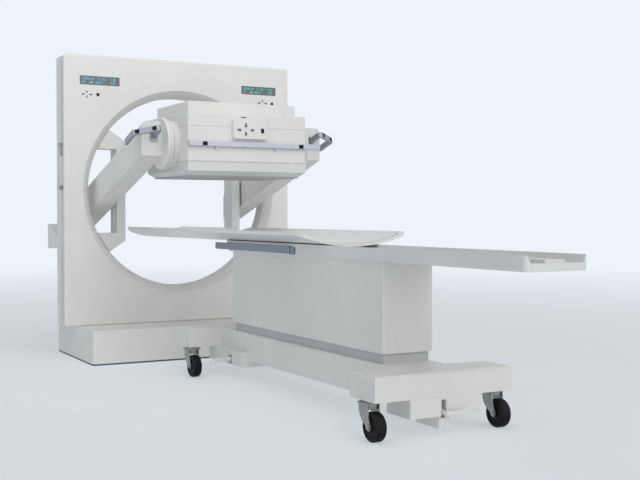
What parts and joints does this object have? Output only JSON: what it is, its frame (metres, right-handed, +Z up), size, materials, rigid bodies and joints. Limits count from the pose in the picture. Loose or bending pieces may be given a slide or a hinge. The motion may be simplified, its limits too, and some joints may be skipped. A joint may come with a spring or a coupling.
{
  "type": "patient scanner with ring gantry, tilting detector head on arms and wheeled couch",
  "caption": "Upright gantry with a round opening, two sloping arms carrying a tilting box-shaped head, and a wheeled table with a lifting column and sliding pallet.",
  "frame": {"origin": "the floor point straight below the middle of the round opening, in the plane of the gantry's front face, on the flat underside of the gantry's floor plate", "axes": "+X to the right seen from the table, +Y from the table through the opening, +Z up"},
  "size_m": [1.594, 4.307, 1.96],
  "materials": {
    "white_cover": "satin",
    "pale_grey": "satin",
    "moulded_cover": "satin",
    "grey_metal": "satin",
    "dark_metal": "matte",
    "screen": "gloss",
    "black_key": "matte",
    "grey_key": "matte",
    "pallet_skin": "satin",
    "blue_grey": "satin",
    "caster_tyre": "matte"
  },
  "bodies": {
    "gantry": {"gantry_base": "white_cover", "floor_plate": "dark_metal", "gantry_frame": "pale_grey", "front_cover": "moulded_cover", "rear_cover": "moulded_cover", "side_grips": "moulded_cover", "display_left": "screen", "display_right": "screen", "table_base": "white_cover", "front_box": "white_cover", "rear_box": "white_cover", "inner_column": "pale_grey", "caster_plates": "grey_metal", "rear_hood": "moulded_cover"},
    "ring": {"ring": "pale_grey", "side_rails": "pale_grey", "guide_rails": "pale_grey"},
    "arms": {"arm_left": "moulded_cover", "arm_right": "moulded_cover", "arm_carriages": "grey_metal", "arm_flanges": "moulded_cover", "handles": "grey_metal"},
    "head": {"head_housing": "moulded_cover", "head_tier": "moulded_cover", "lower_pan": "pale_grey", "bottom_plate": "dark_metal", "head_flanges": "moulded_cover", "front_rail": "grey_metal", "control_box": "moulded_cover"},
    "table_top": {"column_shell": "white_cover", "cradle": "pale_grey", "cradle_sides": "pale_grey", "centre_rail": "grey_metal", "saddle": "moulded_cover", "side_bar": "blue_grey"},
    "pallet": {"pallet": "pallet_skin", "pallet_runner": "grey_metal"},
    "front_pedal": {"front_pedal": "white_cover"},
    "rear_pedal": {"rear_pedal": "white_cover"},
    "fork_fl": {"fork_fl": "grey_metal"},
    "wheel_fl": {"wheel_fl": "caster_tyre"},
    "fork_fr": {"fork_fr": "grey_metal"},
    "wheel_fr": {"wheel_fr": "caster_tyre"},
    "fork_rl": {"fork_rl": "grey_metal"},
    "wheel_rl": {"wheel_rl": "caster_tyre"},
    "fork_rr": {"fork_rr": "grey_metal"},
    "wheel_rr": {"wheel_rr": "caster_tyre"},
    "button_left": {"button_left": "black_key"},
    "button_right": {"button_right": "black_key"},
    "handle_key_l1": {"handle_key_l1": "black_key"},
    "handle_key_l2": {"handle_key_l2": "black_key"},
    "handle_key_r1": {"handle_key_r1": "black_key"},
    "handle_key_r2": {"handle_key_r2": "black_key"},
    "rail_key_left": {"rail_key_left": "black_key"},
    "rail_key_right": {"rail_key_right": "black_key"},
    "key_up": {"key_up": "grey_key"},
    "key_down": {"key_down": "grey_key"},
    "key_left": {"key_left": "grey_key"},
    "key_right": {"key_right": "grey_key"},
    "key_black": {"key_black": "black_key"}
  },
  "joints": [
    {"name": "ring_rotation", "type": "hinge", "parent": "gantry", "child": "ring", "pos_m": [0, 0.107, 1.0875], "axis": [0, 1, 0], "range_deg": [-45, 45]},
    {"name": "arm_slide", "type": "slide", "parent": "ring", "child": "arms", "axis": [0, 0, -1], "range_m": [-0.12, 0.04]},
    {"name": "head_tilt", "type": "hinge", "parent": "arms", "child": "head", "pos_m": [0, -0.81, 1.345], "axis": [1, 0, 0], "range_deg": [-30, 30]},
    {"name": "table_lift", "type": "slide", "parent": "gantry", "child": "table_top", "axis": [0, 0, -1], "range_m": [-0.2, 0.04]},
    {"name": "pallet_slide", "type": "slide", "parent": "table_top", "child": "pallet", "axis": [0, 1, 0], "range_m": [-1.43, 0.1]},
    {"name": "front_pedal_hinge", "type": "hinge", "parent": "gantry", "child": "front_pedal", "pos_m": [-0.0115, -3.01, 0.104], "axis": [1, 0, 0], "range_deg": [-8, 8]},
    {"name": "rear_pedal_hinge", "type": "hinge", "parent": "gantry", "child": "rear_pedal", "pos_m": [-0.168, -1.2, 0.118], "axis": [0, -1, 0], "range_deg": [0, 9]},
    {"name": "swivel_fl", "type": "hinge", "parent": "gantry", "child": "fork_fl", "pos_m": [-0.318, -2.94, 0.15], "axis": [0, 0, 1], "continuous": true},
    {"name": "roll_fl", "type": "hinge", "parent": "fork_fl", "child": "wheel_fl", "pos_m": [-0.318, -2.975, 0.0625], "axis": [1, 0, 0], "continuous": true},
    {"name": "swivel_fr", "type": "hinge", "parent": "gantry", "child": "fork_fr", "pos_m": [0.318, -2.94, 0.15], "axis": [0, 0, 1], "continuous": true},
    {"name": "roll_fr", "type": "hinge", "parent": "fork_fr", "child": "wheel_fr", "pos_m": [0.318, -2.975, 0.0625], "axis": [1, 0, 0], "continuous": true},
    {"name": "swivel_rl", "type": "hinge", "parent": "gantry", "child": "fork_rl", "pos_m": [-0.318, -0.972, 0.15], "axis": [0, 0, 1], "continuous": true},
    {"name": "roll_rl", "type": "hinge", "parent": "fork_rl", "child": "wheel_rl", "pos_m": [-0.318, -1.007, 0.0625], "axis": [1, 0, 0], "continuous": true},
    {"name": "swivel_rr", "type": "hinge", "parent": "gantry", "child": "fork_rr", "pos_m": [0.318, -0.972, 0.15], "axis": [0, 0, 1], "continuous": true},
    {"name": "roll_rr", "type": "hinge", "parent": "fork_rr", "child": "wheel_rr", "pos_m": [0.318, -1.007, 0.0625], "axis": [1, 0, 0], "continuous": true},
    {"name": "button_left_press", "type": "slide", "parent": "gantry", "child": "button_left", "axis": [0, 1, 0], "range_m": [0, 0.002], "stiffness_N_per_m": 400},
    {"name": "button_right_press", "type": "slide", "parent": "gantry", "child": "button_right", "axis": [0, 1, 0], "range_m": [0, 0.002], "stiffness_N_per_m": 400},
    {"name": "handle_key_l1_press", "type": "slide", "parent": "arms", "child": "handle_key_l1", "axis": [0.607, 0.76, -0.2324], "range_m": [0, 0.002], "stiffness_N_per_m": 400},
    {"name": "handle_key_l2_press", "type": "slide", "parent": "arms", "child": "handle_key_l2", "axis": [0.607, 0.76, -0.2324], "range_m": [0, 0.002], "stiffness_N_per_m": 400},
    {"name": "handle_key_r1_press", "type": "slide", "parent": "arms", "child": "handle_key_r1", "axis": [-0.607, 0.76, -0.2324], "range_m": [0, 0.002], "stiffness_N_per_m": 400},
    {"name": "handle_key_r2_press", "type": "slide", "parent": "arms", "child": "handle_key_r2", "axis": [-0.607, 0.76, -0.2324], "range_m": [0, 0.002], "stiffness_N_per_m": 400},
    {"name": "rail_key_left_press", "type": "slide", "parent": "head", "child": "rail_key_left", "axis": [0, 1, 0], "range_m": [0, 0.002], "stiffness_N_per_m": 400},
    {"name": "rail_key_right_press", "type": "slide", "parent": "head", "child": "rail_key_right", "axis": [0, 1, 0], "range_m": [0, 0.002], "stiffness_N_per_m": 400},
    {"name": "key_up_press", "type": "slide", "parent": "head", "child": "key_up", "axis": [0, 1, 0], "range_m": [0, 0.002], "stiffness_N_per_m": 400},
    {"name": "key_down_press", "type": "slide", "parent": "head", "child": "key_down", "axis": [0, 1, 0], "range_m": [0, 0.002], "stiffness_N_per_m": 400},
    {"name": "key_left_press", "type": "slide", "parent": "head", "child": "key_left", "axis": [0, 1, 0], "range_m": [0, 0.002], "stiffness_N_per_m": 400},
    {"name": "key_right_press", "type": "slide", "parent": "head", "child": "key_right", "axis": [0, 1, 0], "range_m": [0, 0.002], "stiffness_N_per_m": 400},
    {"name": "key_black_press", "type": "slide", "parent": "head", "child": "key_black", "axis": [0, 1, 0], "range_m": [0, 0.002], "stiffness_N_per_m": 400}
  ]
}
